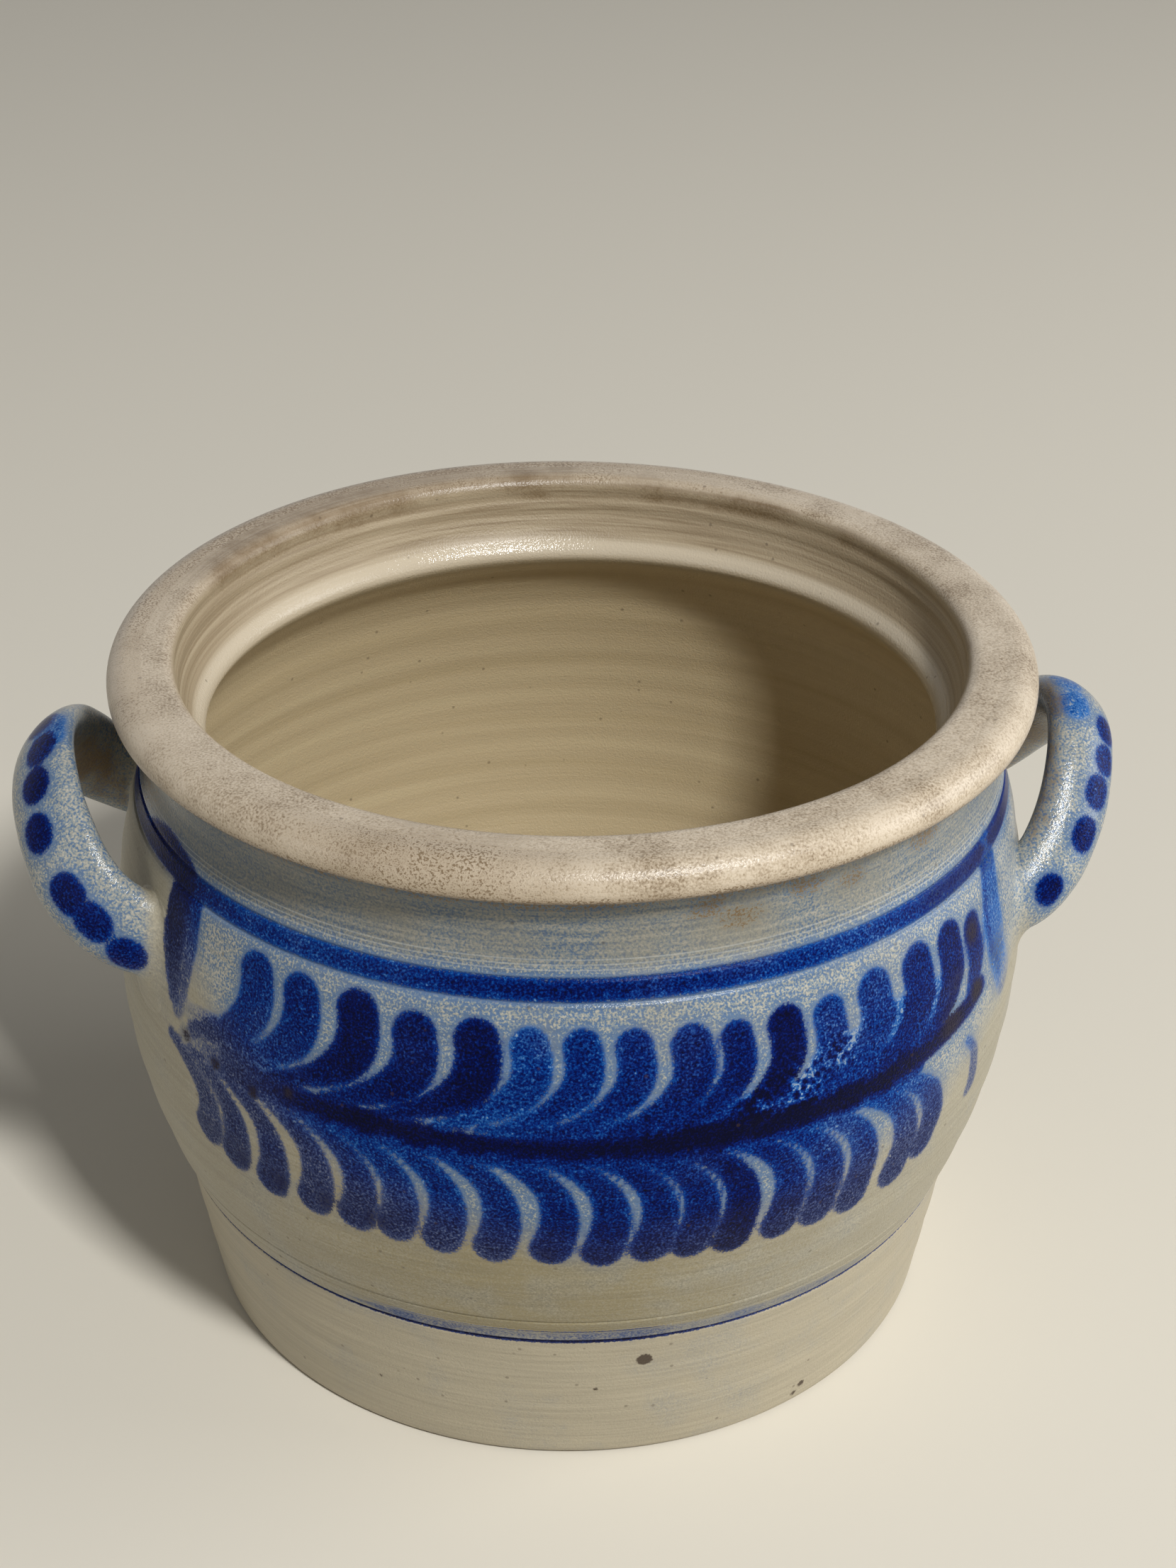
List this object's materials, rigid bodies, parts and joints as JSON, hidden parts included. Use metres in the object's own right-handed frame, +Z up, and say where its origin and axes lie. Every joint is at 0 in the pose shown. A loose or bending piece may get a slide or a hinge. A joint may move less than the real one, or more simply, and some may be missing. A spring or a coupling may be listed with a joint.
{
  "type": "stoneware crock",
  "caption": "Open salt-glazed stoneware crock with a rolled lip, a ledged throat, a round belly, a straight foot and upturned strap handles, for storing or pickling food.",
  "frame": {"origin": "centre of the flat base, on the surface the crock stands on", "axes": "+Z up along the pot's axis, +X through the right handle, -Y towards the painted front"},
  "size_m": [0.3388, 0.2852, 0.22],
  "materials": {
    "body_glaze": "grey salt glaze with cobalt brushwork, semi-gloss",
    "handle_glaze": "blue-grey salt glaze with cobalt dabs, semi-gloss"
  },
  "bodies": {
    "root": {"crock_body": "body_glaze", "handle_left": "handle_glaze", "handle_right": "handle_glaze"}
  },
  "joints": []
}
